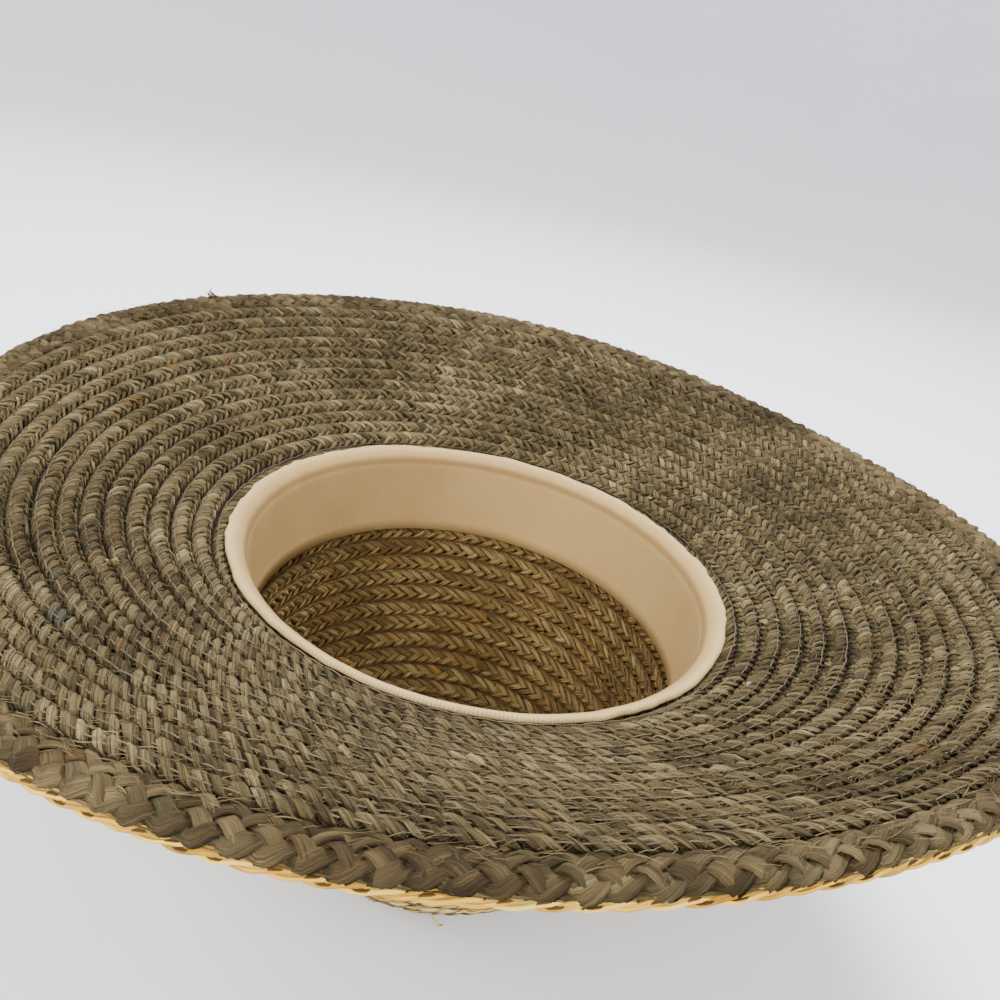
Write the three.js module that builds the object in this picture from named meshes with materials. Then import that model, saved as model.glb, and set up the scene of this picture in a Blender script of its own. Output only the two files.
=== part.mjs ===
// A wide-brim hat of braided straw with a ribbon sweatband, resting on its crown with the underside up.
// Millimetres, +Z up. The origin is the centre of the crown tip's outer face. The hat's front is -Y.
// The straw is one long flat braid, sewn in a spiral from the tip to the rim. Each turn is a row.
// The wall is drawn once, as a line from the tip's centre to the rim. A place in the wall has two values:
// along, the way from the centre of the tip, and through, the way from the outer face to the head side.
import * as THREE from 'three';
import { mergeVertices } from 'three/addons/utils/BufferGeometryUtils.js';

// The oval opening for the head, measured outside the straw where the crown ends
const openingLength = 203;
const openingWidth = 169;

// The crown, from the tip's outer face to the brim's inner edge
const crownDepth = 103;
const wallFlareDegrees = 8;
const shoulderRadius = 46;
const foldRadius = 4;

// The brim, from the fold to the rim, and how far the rim falls below the opening when the hat is worn
const brimReach = 106.5;
const brimDrop = 36;
const brimStartSlopeDegrees = 19.5;

// The front edge of the brim curls back toward the crown
const curlWidth = 14;
const curlRise = 4.2;

// The braid: its thickness, how far the next row shows, and how far two rows lie over each other
const braidThickness = 1.6;
const braidPitch = 7.1;
const rowOverlap = 3.3;
const rowStep = 0.7;
const stepWidth = 0.35;

// The last row is a wider braid with a full edge
const rimBraidWidth = 11.4;
const rimEdgeThickness = 3.4;
const rimEdgeWidth = 4;

// The ribbon inside the opening, with a soft rolled lip that lies on the brim
const bandHeight = 27;
const bandThickness = 1.1;
const lipReach = 3.2;
const lipThickness = 2.3;

// Free space between two pieces that touch
const clearance = 0.3;

// Facets round the hat
const facetsAround = 40;
const shoulderFacets = 6;
const foldFacets = 3;

// The rim's own waves: how many go round, how deep they are as a share of the drop, and where they droop most,
// turned from the front toward +X
const brimWaves = [
  { count: 1, depthShare: 0.25, turnDegrees: 114 },
  { count: 2, depthShare: 0.24, turnDegrees: 28 },
  { count: 3, depthShare: 0.03, turnDegrees: 21 },
  { count: 5, depthShare: 0.02, turnDegrees: 31 },
];

// Values that follow from the sizes
const wallThickness = braidThickness + rowStep;
const wallSlope = THREE.MathUtils.degToRad(90 - wallFlareDegrees);
const brimStartSlope = THREE.MathUtils.degToRad(brimStartSlopeDegrees);
const meanOpening = (openingLength + openingWidth) / 4;
const foldRise = foldRadius * (Math.cos(brimStartSlope) - Math.cos(wallSlope));
const foldReach = foldRadius * (Math.sin(wallSlope) - Math.sin(brimStartSlope));
const wallTop = crownDepth - foldRise;
const shoulderHeight = shoulderRadius * (1 - Math.cos(wallSlope));
const wallLength = (wallTop - shoulderHeight) / Math.sin(wallSlope);
const shoulderEnd = meanOpening - wallLength * Math.cos(wallSlope);
const flatRadius = shoulderEnd - shoulderRadius * Math.sin(wallSlope);
const brimStart = meanOpening + foldReach;
const rimRadius = brimStart + brimReach;

// The line of the outer face, from the tip's centre, round the shoulder, up the wall, over the fold to the rim
const profile = new THREE.Path();
profile.moveTo(0, 0);
profile.lineTo(flatRadius, 0);
profile.absarc(flatRadius, shoulderRadius, shoulderRadius, -Math.PI / 2, wallSlope - Math.PI / 2, false);
profile.lineTo(meanOpening, wallTop);
profile.absarc(
  meanOpening + foldRadius * Math.sin(wallSlope),
  wallTop - foldRadius * Math.cos(wallSlope),
  foldRadius,
  Math.PI / 2 + wallSlope,
  Math.PI / 2 + brimStartSlope,
  true,
);
profile.quadraticCurveTo(
  brimStart + brimReach / 2,
  crownDepth + (brimReach / 2) * Math.tan(brimStartSlope),
  rimRadius,
  crownDepth + brimDrop,
);

// Places along the line
const profileLength = profile.getLength();
const shoulderFrom = flatRadius;
const shoulderTo = shoulderFrom + shoulderRadius * wallSlope;
const foldFrom = shoulderTo + wallLength;
const foldTo = foldFrom + foldRadius * (wallSlope - brimStartSlope);
const rimFrom = profileLength - rimBraidWidth;

// A place in the wall as a point of the turned section
function sectionPoint(along, through) {
  const share = THREE.MathUtils.clamp(along / profileLength, 0, 1);
  const point = profile.getPoint(share);
  const direction = profile.getTangent(share);
  return new THREE.Vector2(point.x - direction.y * through, point.y + direction.x * through);
}

// Evenly spaced places from one end of a stretch to the other
function spread(from, to, parts) {
  return Array.from({ length: parts + 1 }, (_, i) => from + ((to - from) * i) / parts);
}

// The edges of the rows in a stretch of the wall
function rowEdges(from, to) {
  return spread(from, to, Math.max(1, Math.round((to - from) / braidPitch)));
}

// The rows of the crown's shoulder, and those of its side and the fold
const crownEdges = rowEdges(shoulderFrom, foldTo);
const sideFrom = crownEdges.find((edge) => edge >= shoulderTo);
const shoulderEdges = crownEdges.filter((edge) => edge <= sideFrom);
const sideEdges = crownEdges.filter((edge) => edge >= sideFrom);

// The outer face of the rows: each row's inner edge stands out over the row before it
function outerRows(edges, last) {
  const points = [];
  for (const edge of edges) {
    const start = edge - rowOverlap;
    points.push([start - stepWidth, rowStep], [start, 0]);
  }
  points.push([last, rowStep]);
  return points;
}

// The head side of the rows, walked back toward the tip: each row's outer edge stands out over the next row
function underRows(edges) {
  const points = [];
  for (const edge of [...edges].reverse()) {
    points.push([edge + stepWidth, wallThickness - rowStep], [edge, wallThickness]);
  }
  return points;
}

// The smooth head side of a stretch, walked back toward the tip
function smoothSide(places, through) {
  return [...places].reverse().map((along) => [along, through]);
}

// One closed mesh: welded corners, and no flat triangles where the section meets the axis
function closedMesh(geometry) {
  geometry.deleteAttribute('normal');
  geometry.deleteAttribute('uv');
  const welded = mergeVertices(geometry);
  const corners = welded.index.array;
  const kept = [];
  for (let i = 0; i < corners.length; i += 3) {
    const [a, b, c] = corners.slice(i, i + 3);
    if (a !== b && b !== c && c !== a) kept.push(a, b, c);
  }
  welded.setIndex(kept);
  return welded;
}

// How far the brim droops past its mean line at a turn from the front, at a share of its reach
function brimWave(turn, share) {
  let droop = 0;
  for (const { count, depthShare, turnDegrees } of brimWaves) {
    droop += depthShare * brimDrop * Math.cos(count * (turn - THREE.MathUtils.degToRad(turnDegrees)));
  }
  return droop * share * share;
}

// How far the front edge curls back toward the crown
function frontCurl(turn, radius) {
  const share = THREE.MathUtils.clamp((radius - rimRadius + curlWidth) / curlWidth, 0, 1);
  return curlRise * share * share * Math.max(0, Math.cos(turn)) ** 2;
}

// The round section becomes the oval hat: the wall and the brim lie at an even distance from the opening's oval,
// and the tip is that oval made smaller
function placeOnOval(turn, radius) {
  const halfLength = openingLength / 2;
  const halfWidth = openingWidth / 2;
  const outward = new THREE.Vector2(halfLength * Math.sin(turn), -halfWidth * Math.cos(turn)).normalize();
  const onOval = new THREE.Vector2(halfWidth * Math.sin(turn), -halfLength * Math.cos(turn));
  const reach = Math.max(radius, shoulderEnd) - meanOpening;
  return onOval.addScaledVector(outward, reach).multiplyScalar(Math.min(1, radius / shoulderEnd));
}

function shapeHat(geometry) {
  const position = geometry.attributes.position;
  for (let i = 0; i < position.count; i += 1) {
    const radius = Math.hypot(position.getX(i), position.getY(i));
    const turn = Math.atan2(position.getX(i), -position.getY(i));
    const share = Math.max(0, (radius - brimStart) / brimReach);
    const place = placeOnOval(turn, radius);
    const height = position.getZ(i) + brimWave(turn, share) - frontCurl(turn, radius);
    position.setXYZ(i, place.x, place.y, height);
  }
  return geometry;
}

// One piece of the hat, turned from a section of [along, through] places
function hatPiece(name, section, material) {
  const points = section.map(([along, through]) => sectionPoint(along, through));
  if (section[0][0] > 0) points.push(points[0].clone());
  const turned = new THREE.LatheGeometry(points, facetsAround).rotateX(Math.PI / 2);
  const mesh = new THREE.Mesh(shapeHat(closedMesh(turned)), material);
  mesh.name = name;
  return mesh;
}

const goldenStraw = new THREE.MeshStandardMaterial({ color: 0xcdb47c, roughness: 0.75, metalness: 0 });
const wornStraw = new THREE.MeshStandardMaterial({ color: 0x968a6c, roughness: 0.85, metalness: 0 });
const rimStraw = new THREE.MeshStandardMaterial({ color: 0xd8bc80, roughness: 0.7, metalness: 0 });
const creamRibbon = new THREE.MeshStandardMaterial({ color: 0xe0cda8, roughness: 0.9, metalness: 0 });

// Half of the wall's thickness, where two pieces lie over each other
const lapDepth = wallThickness / 2;

// The crown tip: the flat rows, with their last row's edge under the shoulder's first row
function crownTip() {
  const lapFrom = shoulderFrom - rowOverlap;
  const section = [
    [0, 0],
    [lapFrom - clearance, 0],
    [lapFrom - clearance, lapDepth + clearance / 2],
    [shoulderFrom - clearance / 2, lapDepth + clearance / 2],
    [shoulderFrom - clearance / 2, wallThickness],
    [0, wallThickness],
  ];
  return hatPiece('crown_tip', section, goldenStraw);
}

// A stretch of rows that lies over the stretch before it on the outer face, and under the next one
function lappedRows(name, edges, headSide, material) {
  const first = edges[0];
  const last = edges[edges.length - 1];
  const section = [
    [first - rowOverlap, 0],
    ...outerRows(edges.slice(1, -1), last - rowOverlap - clearance),
    [last - rowOverlap - clearance, lapDepth + clearance / 2],
    [last - clearance / 2, lapDepth + clearance / 2],
    [last - clearance / 2, wallThickness],
    ...headSide,
    [first + clearance / 2, wallThickness],
    [first + clearance / 2, lapDepth - clearance / 2],
    [first - rowOverlap, lapDepth - clearance / 2],
  ];
  return hatPiece(name, section, material);
}

// The crown shoulder: the rows that turn from the flat tip to the side, smooth on the head side
function crownShoulder() {
  const places = spread(shoulderFrom, sideFrom, shoulderFacets).slice(1, -1);
  return lappedRows('crown_shoulder', shoulderEdges, smoothSide(places, wallThickness), goldenStraw);
}

// The crown side: the rows up to the opening and over the fold, smooth on the head side
function crownSide() {
  const places = spread(foldFrom, foldTo, foldFacets).slice(0, -1);
  return lappedRows('crown_side', sideEdges, smoothSide(places, wallThickness), goldenStraw);
}

// The brim: its rows from the fold to the rim braid, stepped on both faces
function brim() {
  const edges = rowEdges(foldTo, rimFrom);
  return lappedRows('brim', edges, underRows(edges.slice(1, -1)), wornStraw);
}

// The rim braid: the last, widest row, with a full rounded edge
function rimBraid() {
  const swell = (rimEdgeThickness - wallThickness) / 2;
  const shoulder = profileLength - rimEdgeWidth;
  const round = profileLength - rimEdgeWidth / 4;
  const section = [
    [rimFrom - rowOverlap, 0],
    [shoulder, rowStep / 2],
    [profileLength - rimEdgeWidth / 2, -swell],
    [round, -swell],
    [profileLength, wallThickness / 2],
    [round, wallThickness + swell],
    [profileLength - rimEdgeWidth / 2, wallThickness + swell],
    [shoulder, wallThickness - rowStep / 2],
    [rimFrom + clearance / 2, wallThickness - rowStep],
    [rimFrom + clearance / 2, lapDepth - clearance / 2],
    [rimFrom - rowOverlap, lapDepth - clearance / 2],
  ];
  return hatPiece('rim_braid', section, rimStraw);
}

// The sweatband: a ribbon up the inside of the crown wall, over the fold, with a soft lip on the brim
function sweatband() {
  const seat = wallThickness + clearance;
  const lipEnd = foldTo + lipReach;
  const overFold = spread(foldFrom, foldTo, foldFacets);
  const section = [
    [foldFrom - bandHeight, seat],
    ...overFold.map((along) => [along, seat]),
    [lipEnd - lipThickness / 3, seat],
    [lipEnd, seat + lipThickness / 2],
    [lipEnd - lipThickness / 3, seat + lipThickness],
    [foldTo, seat + lipThickness],
    ...smoothSide(overFold.slice(0, -1), seat + bandThickness),
    [foldFrom - bandHeight, seat + bandThickness],
  ];
  return hatPiece('sweatband', section, creamRibbon);
}

const hat = new THREE.Group();
hat.name = 'straw_hat';
hat.add(crownTip(), crownShoulder(), crownSide(), brim(), rimBraid(), sweatband());

export default hat;
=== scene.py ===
# %% [markdown]
# # A wide-brim straw hat
# The real hat is one long flat plait of split palm leaf, sewn onto itself in a spiral.
# Each turn of the spiral shows as a row. Here the hat lies on its crown, underside up.
# Plaiting that is only painted on a smooth shell would look flat at the rim and from close by.
# So every leaf strand is modelled, and a formula does the plaiting.

# %% Load the CAD frame
import math

import bpy
import numpy as np
from mathutils import Euler, Matrix


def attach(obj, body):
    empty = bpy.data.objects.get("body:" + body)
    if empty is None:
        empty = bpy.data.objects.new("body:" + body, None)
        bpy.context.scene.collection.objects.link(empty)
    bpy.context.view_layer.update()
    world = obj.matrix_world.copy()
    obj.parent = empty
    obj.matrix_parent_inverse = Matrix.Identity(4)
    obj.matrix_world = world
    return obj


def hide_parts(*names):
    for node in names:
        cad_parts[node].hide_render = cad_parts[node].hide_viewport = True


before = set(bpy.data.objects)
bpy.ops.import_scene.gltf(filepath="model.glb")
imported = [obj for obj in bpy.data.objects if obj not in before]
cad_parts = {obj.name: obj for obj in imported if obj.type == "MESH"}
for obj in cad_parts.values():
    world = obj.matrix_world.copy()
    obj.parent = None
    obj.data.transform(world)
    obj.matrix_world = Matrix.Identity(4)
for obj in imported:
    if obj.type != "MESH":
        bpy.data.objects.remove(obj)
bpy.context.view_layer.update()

print("CAD nodes:", sorted(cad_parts))

# %% [markdown]
# ## The sizes of the hat
# A maker thinks in a few sizes: the opening, the crown, the brim and the plait.
# They are the CAD model's own values, in metres, so each piece lands where the frame has it.

# %% Sizes of the opening, crown and brim
opening_length = 0.203
opening_width = 0.169
crown_depth = 0.103
wall_flare = math.radians(8)
shoulder_radius = 0.046
fold_radius = 0.004
brim_reach = 0.1065
brim_drop = 0.036
brim_start_slope = math.radians(19.5)
curl_width = 0.014
curl_rise = 0.0042
brim_waves = [(1, 0.25, 114), (2, 0.24, 28), (3, 0.03, 21), (5, 0.02, 31)]
print("opening", opening_length, "by", opening_width, "m")

# %% Sizes of the plait and the sweatband
wall_thickness = 0.0023
row_pitch = 0.0071
rim_plait_width = 0.0114
band_height = 0.027
band_thickness = 0.0011
lip_reach = 0.0032
lip_thickness = 0.0023
band_fold_length = 0.0044
clearance = 0.0003

# %% Values that follow from the sizes
wall_slope = math.pi / 2 - wall_flare
mean_opening = (opening_length + opening_width) / 4
fold_rise = fold_radius * (math.cos(brim_start_slope) - math.cos(wall_slope))
fold_reach = fold_radius * (math.sin(wall_slope) - math.sin(brim_start_slope))
wall_top = crown_depth - fold_rise
shoulder_height = shoulder_radius * (1 - math.cos(wall_slope))
wall_length = (wall_top - shoulder_height) / math.sin(wall_slope)
shoulder_end = mean_opening - wall_length * math.cos(wall_slope)
flat_radius = shoulder_end - shoulder_radius * math.sin(wall_slope)
brim_start = mean_opening + fold_reach
rim_radius = brim_start + brim_reach
print(f"rim radius {rim_radius:.4f} m, flat tip radius {flat_radius:.4f} m")

# %% [markdown]
# ## The camera
# The photograph looks into the opening from the front, about 24 degrees above its plane.
# A wide lens close by makes the near rim large. The camera is also held a little crooked, by
# about 13 degrees, so the brim slopes down to the right as it does in the photograph.

# %% Camera
focal_pixels = 1117
image_pixels = 1000
camera_distance = 0.403
camera_azimuth = math.radians(-2.1)
camera_elevation = math.radians(24.3)
aim_above_target = math.radians(3.14)
aim_right_of_target = math.radians(0.31)
camera_roll = math.radians(12.73)


def new_object(name, data):
    made = bpy.data.objects.new(name, data)
    bpy.context.scene.collection.objects.link(made)
    return made


camera = new_object("camera", bpy.data.cameras.new("camera"))
camera.data.sensor_width = 36
camera.data.lens = focal_pixels / image_pixels * 36
camera.data.clip_start = 0.01
camera.location = (
    camera_distance * math.sin(camera_azimuth) * math.cos(camera_elevation),
    -camera_distance * math.cos(camera_azimuth) * math.cos(camera_elevation),
    crown_depth + wall_thickness + camera_distance * math.sin(camera_elevation),
)
aim_tilt = math.pi / 2 - camera_elevation + aim_above_target
aim = Euler((aim_tilt, 0, camera_azimuth - aim_right_of_target)).to_matrix()
camera.rotation_euler = (aim @ Matrix.Rotation(camera_roll, 3, "Z")).to_euler()
bpy.context.scene.camera = camera
print("camera at", [round(value, 3) for value in camera.location])

# %% [markdown]
# ## One line for the whole wall
# A hat block gives the straw its shape: flat tip, round shoulder, steep side, fold and brim.
# We draw that section once. A place in the straw then has three values: how far along the line
# from the middle of the tip, how deep through the wall, and its turn from the front.
# Everything that is plaited or sewn later is described by these three values.

# %% The line of the outer face
def arc(centre, radius, start, end, steps):
    angles = np.linspace(start, end, steps)
    return np.column_stack([centre[0] + radius * np.cos(angles), centre[1] + radius * np.sin(angles)])


def brim_curve(steps):
    share = np.linspace(0, 1, steps)[:, None]
    start = np.array([brim_start, crown_depth])
    middle = start + brim_reach / 2 * np.array([1, math.tan(brim_start_slope)])
    end = np.array([rim_radius, crown_depth + brim_drop])
    return (1 - share) ** 2 * start + 2 * share * (1 - share) * middle + share**2 * end


fold_centre = (
    mean_opening + fold_radius * math.sin(wall_slope),
    wall_top - fold_radius * math.cos(wall_slope),
)
corners = np.concatenate([
    [[0.0, 0.0]],
    arc((flat_radius, shoulder_radius), shoulder_radius, -math.pi / 2, wall_slope - math.pi / 2, 80),
    arc(fold_centre, fold_radius, math.pi / 2 + wall_slope, math.pi / 2 + brim_start_slope, 24),
    brim_curve(160)[1:],
])
corners = np.concatenate([corners, [2 * corners[-1] - corners[-2]]])

# %% Even steps along it, and its direction at each
corner_along = np.r_[0, np.cumsum(np.hypot(*np.diff(corners, axis=0).T))]
line_along = np.linspace(0, corner_along[-1], 3000)
line_radius = np.interp(line_along, corner_along, corners[:, 0])
line_height = np.interp(line_along, corner_along, corners[:, 1])


def smoothed(values, **beyond_ends):
    """Each value becomes the mean of itself and its four neighbours on either side."""
    return np.convolve(np.pad(values, 4, **beyond_ends), np.ones(9) / 9, "valid")


line_out = np.gradient(smoothed(line_radius, mode="reflect", reflect_type="odd"))
line_up = np.gradient(smoothed(line_height, mode="reflect", reflect_type="odd"))
line_size = np.hypot(line_out, line_up)
line_out = line_out / line_size
line_up = line_up / line_size

profile_length = corner_along[-2]
shoulder_from = flat_radius
shoulder_to = shoulder_from + shoulder_radius * wall_slope
fold_from = shoulder_to + wall_length
fold_to = fold_from + fold_radius * (wall_slope - brim_start_slope)
rim_from = profile_length - rim_plait_width
print(f"the wall is {profile_length:.4f} m from the tip's middle to the rim")

# %% [markdown]
# ## From the round block to the oval, waved hat
# The opening is an oval, and the brim and wall lie at an even distance from it.
# The brim also waves: slow cosines of the turn lift and lower it, more toward the rim.
# The front edge curls back a little toward the crown.

# %% A place in the straw
def wall_point(along, through, turn):
    """Where a place in the straw is. through is 0 on the outer face and grows toward the head."""
    along, through, turn = np.broadcast_arrays(along, through, turn)
    along = np.maximum(along, 0.0002)
    beyond = np.maximum(along - line_along[-1], 0)
    out = np.interp(along, line_along, line_out)
    up = np.interp(along, line_along, line_up)
    radius = np.interp(along, line_along, line_radius) + beyond * out - up * through
    height = np.interp(along, line_along, line_height) + beyond * up + out * through
    share = np.maximum(0, (radius - brim_start) / brim_reach)
    for count, depth_share, degrees in brim_waves:
        wave = np.cos(count * (turn - math.radians(degrees)))
        height = height + depth_share * brim_drop * wave * share**2
    curl = np.clip((radius - rim_radius + curl_width) / curl_width, 0, 1)
    height = height - curl_rise * curl**2 * np.maximum(0, np.cos(turn)) ** 2
    half_length, half_width = opening_length / 2, opening_width / 2
    outward_x = half_length * np.sin(turn)
    outward_y = -half_width * np.cos(turn)
    reach = (np.maximum(radius, shoulder_end) - mean_opening) / np.hypot(outward_x, outward_y)
    shrink = np.minimum(1, radius / shoulder_end)
    x = (half_width * np.sin(turn) + outward_x * reach) * shrink
    y = (-half_length * np.cos(turn) + outward_y * reach) * shrink
    return np.stack([x, y, height], axis=-1)


print("front of the rim:", wall_point(profile_length, 0, 0).round(4))

# %% Even steps round a row
def round_row(along, through=wall_thickness / 2):
    """A row's length, and a function that turns a share of that length into a turn."""
    turns = np.linspace(0, 2 * math.pi, 721)
    places = wall_point(along, through, turns)
    lengths = np.r_[0, np.cumsum(np.linalg.norm(np.diff(places, axis=0), axis=1))]

    def turn_at(share):
        return np.interp(np.mod(share, 1), lengths / lengths[-1], turns)

    return lengths[-1], turn_at


print(f"the rim is {round_row(profile_length)[0]:.3f} m round")

# %% [markdown]
# ## Long strips become one mesh
# A leaf strand, a stitch and the ribbon are all long strips: a small section carried along a path.
# One function builds them all. It also lays the strips side by side in a texture map,
# as a tailor lays out ribbons, so that nothing overlaps when the colours are baked.

# %% What the points of a strip tell the shaders
def facts_of(points, leaf, place=(0, 0, 0)):
    """Two triples at each point. For straw, leaf is how far across the strand, how far along it, and
    its tone. place is the side of the strand, the side of the straw, and how near a valley is."""
    spread = [[np.broadcast_to(value, points.shape[:2]) for value in triple] for triple in (leaf, place)]
    return np.stack([np.stack(triple, axis=-1) for triple in spread], axis=2)


# %% A mesh made of strips
lane_margin = 0.06


def mesh_of_strips(name, strips, strip_width):
    """Each strip is its points (steps x section x 3), its facts and whether it closes on itself.
    strip_width is the way round its section."""
    steps_of = [np.linalg.norm(np.diff(points[:, 0], axis=0), axis=1) for points, _, _ in strips]
    lane = math.sqrt(sum(steps.sum() for steps in steps_of) * strip_width * 1.15)
    lane_room = lane + 1.5 * max(steps.max() for steps in steps_of)
    all_points, all_facts, all_faces = [], [], []
    lane_of, u_from, u_to, v_from, v_to = [], [], [], [], []
    first = 0
    wound = 0.0
    for points, facts, closed in strips:
        steps, section = points.shape[:2]
        here = np.arange(steps if closed else steps - 1)
        after = (here + 1) % steps
        side = np.arange(section)
        next_side = (side + 1) % section
        quads = np.stack([
            here[:, None] * section + side,
            after[:, None] * section + side,
            after[:, None] * section + next_side,
            here[:, None] * section + next_side,
        ], axis=-1)
        reach = np.linalg.norm(points[after, 0] - points[here, 0], axis=1)
        starts = wound + np.r_[0, np.cumsum(reach)[:-1]]
        wound = starts[-1] + reach[-1]
        lanes = np.floor(starts / lane)
        all_faces.append(quads.reshape(-1, 4) + first)
        lane_of.append(np.repeat(lanes, section))
        u_from.append(np.repeat((starts - lanes * lane) / lane_room, section))
        u_to.append(np.repeat((starts + reach - lanes * lane) / lane_room, section))
        v_from.append(np.tile(side / section, len(here)))
        v_to.append(np.tile((side + 1) / section, len(here)))
        all_points.append(points.reshape(-1, 3))
        all_facts.append(facts.reshape(-1, 2, 3))
        first += steps * section
    lane_count = math.ceil(wound / lane) + 1
    lane_of, u_from, u_to, v_from, v_to = map(np.concatenate, (lane_of, u_from, u_to, v_from, v_to))
    mesh = bpy.data.meshes.new(name)
    mesh.from_pydata(np.concatenate(all_points), [], np.concatenate(all_faces))
    facts = np.concatenate(all_facts)
    for index, attribute in enumerate(("leaf", "place")):
        layer = mesh.attributes.new(attribute, "FLOAT_VECTOR", "POINT")
        layer.data.foreach_set("vector", np.ascontiguousarray(facts[:, index], dtype=np.float32).ravel())
    low = (lane_of + lane_margin + (1 - 2 * lane_margin) * v_from) / lane_count
    high = (lane_of + lane_margin + (1 - 2 * lane_margin) * v_to) / lane_count
    corners_uv = np.stack([
        np.stack([u_from, low], -1), np.stack([u_to, low], -1),
        np.stack([u_to, high], -1), np.stack([u_from, high], -1),
    ], axis=1)
    layer = mesh.uv_layers.new(name="OFBake")
    layer.data.foreach_set("uv", corners_uv.astype(np.float32).ravel())
    mesh.polygons.foreach_set("use_smooth", np.ones(len(mesh.polygons), dtype=bool))
    mesh.update()
    piece = new_object(name, mesh)
    print(f"{name}: {2 * len(mesh.polygons)} triangles, {wound:.1f} m of strip")
    return piece


# %% [markdown]
# ## Plaiting a row
# In this flat plait each outer strand folds over, runs slantwise over the others to the middle,
# and then under them to the far edge, where it folds and comes back. So each half of a row
# shows slanted leaves side by side, and the two halves meet in a chevron. From above a strand
# is a zigzag, which is a pointed cosine. Its height is a faster sine that snaps up and down.
# The strands share the formula, each a step behind the last.

# %% A value that wanders along a row
def wander(random, share, knots):
    """A smooth value between about -1 and 1 that meets itself after one round."""
    values = random.uniform(-1, 1, max(3, knots))
    place = np.mod(share, 1) * len(values)
    before = np.floor(place).astype(int) % len(values)
    blend = place - np.floor(place)
    blend = blend * blend * (3 - 2 * blend)
    return values[before] * (1 - blend) + values[(before + 1) % len(values)] * blend


# %% [markdown]
# ## The bed of a row
# A row isn't flat. On the outer face it lies nearly flat and laps over its neighbour like a shingle.
# On the head side it stands up round, like a cord, with a dark valley on each side.
# So a row has two beds: a flat one for the strands below and a round one for those on top.
# A strand that dives from top to bottom moves from one bed to the other.

# %% The beds of an ordinary row
lap_inward = 0.0030
lap_outward = 0.0006
crest_narrowness = 2.55


def two_beds(inner, outer, depths, ridge, ply):
    """The beds between two places along the wall. ridge is the rise of the round one."""
    start, end = inner - lap_inward, outer + lap_outward
    crest = (inner + outer) / 2
    pitch = outer - inner
    across = np.linspace(-1, 1, 161)
    flat_along = (start + end) / 2 + across * (end - start) / 2
    flat_depth = depths[0] + (depths[1] - depths[0]) * (across + 1) / 2
    swell = np.clip((flat_along - crest) / pitch * crest_narrowness, -1, 1)
    round_depth = flat_depth + ridge * np.sqrt(1 - swell**2)
    reach = np.r_[0, np.cumsum(np.hypot(np.diff(flat_along), np.diff(round_depth)))]
    half = reach[-1] / 2
    even = np.linspace(-half, half, 161)
    along = np.interp(even, reach - half, flat_along)
    depth = np.interp(even, reach - half, round_depth)
    rise = smoothed(np.gradient(depth), mode="edge")
    run = np.gradient(along)
    size = np.hypot(rise, run)

    def bed(aside, lift):
        share = (aside + half) / (2 * half) * 2 - 1
        on_top = np.clip((lift / ply + 1) / 2, 0, 1)
        on_top = on_top * on_top * (3 - 2 * on_top)
        tilt = on_top * -np.interp(aside, even, rise / size)
        low_place = np.interp(share, across, flat_along)
        low_depth = np.interp(share, across, flat_depth)
        place = low_place * (1 - on_top) + np.interp(aside, even, along) * on_top
        deep = low_depth * (1 - on_top) + np.interp(aside, even, depth) * on_top
        valley = np.minimum(np.abs(place - crest) / pitch * 2, 1.5)
        return place + lift * tilt, deep + lift * np.sqrt(1 - tilt**2), valley

    return bed, (start + end) / 2, half


# %% One row of plait
zigzag_point = 0.95
snap = 1.9
row_drift_reach = 0.0003
fold_narrowing = 0.2
looseness = 0.3
spacing_wander = 0.0004
strand_per_row_length = 1.25


def plait_row(bed, middle, half, plait, random):
    """The strands of one row on its bed, as strips for one mesh. They are uneven by chance."""
    length, turn_at = round_row(middle)
    periods = max(1, round(length / plait["period"]))
    samples = plait["samples"]
    swing = half - plait["strand_width"] / 2
    row_drift = random.uniform(-1, 1, 9) * row_drift_reach
    strips = []
    for strand in range(plait["strands"]):
        phase = 2 * math.pi * np.arange(periods * samples) / samples
        share = (phase / (2 * math.pi) - strand / plait["strands"]) / periods
        leaves = 2 * periods
        width = plait["strand_width"] * (1 + plait["ragged"] * wander(random, share, leaves))
        width = width * (1 - fold_narrowing * np.cos(phase) ** 6)
        lean = plait["shingle"] + plait["lean"] * wander(random, share, 2 * leaves)
        pointed = zigzag_point * np.cos(phase)
        sideways = swing * np.arcsin(pointed) / math.asin(zigzag_point)
        slope = -swing * zigzag_point * np.sin(phase) / np.sqrt(1 - pointed**2)
        slant = np.arctan2(slope / math.asin(zigzag_point), length / periods / (2 * math.pi))
        over = np.sin(plait["turns_over"] * phase)
        weave = plait["hand"] * np.tanh(snap * over) / math.tanh(snap)
        loose = 1 + looseness * wander(random, share, 3 * leaves)
        section = np.array(plait["section"])
        across = section[:, 0] * width[:, None] / 2
        rise = section[:, 1] * plait["strand_thickness"] / 2 + across * np.sin(lean)[:, None]
        ahead = share * length + spacing_wander * wander(random, share, leaves)
        ahead = ahead[:, None] - across * np.sin(slant)[:, None]
        aside = sideways[:, None] + across * np.cos(slant)[:, None]
        along, depth, valley = bed(aside, plait["weave_height"] * (weave * loose)[:, None] + rise)
        drift_knots = np.r_[row_drift, row_drift[0]]
        drift = np.interp(np.mod(share, 1), np.linspace(0, 1, 10), drift_knots)
        points = wall_point(along + drift[:, None], depth, turn_at(ahead / length))
        run = (share * length * strand_per_row_length)[:, None]
        leaf = (section[:, 0], run, random.uniform(0, 1))
        place = (section[:, 1], weave[:, None], valley)
        strips.append((points, facts_of(points, leaf, place), True))
    return strips


# %% [markdown]
# ## The middle of the plait
# A real plait has more leaf inside than shows: butt ends and folds close the holes between strands.
# Flat leaves that run inside each row do the same here, so no light comes through.

# %% The leaves inside a row
inner_leaf_half_width = 0.0029
inner_leaf_step = 0.007
inner_leaf_half_thickness = 0.00015


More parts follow.
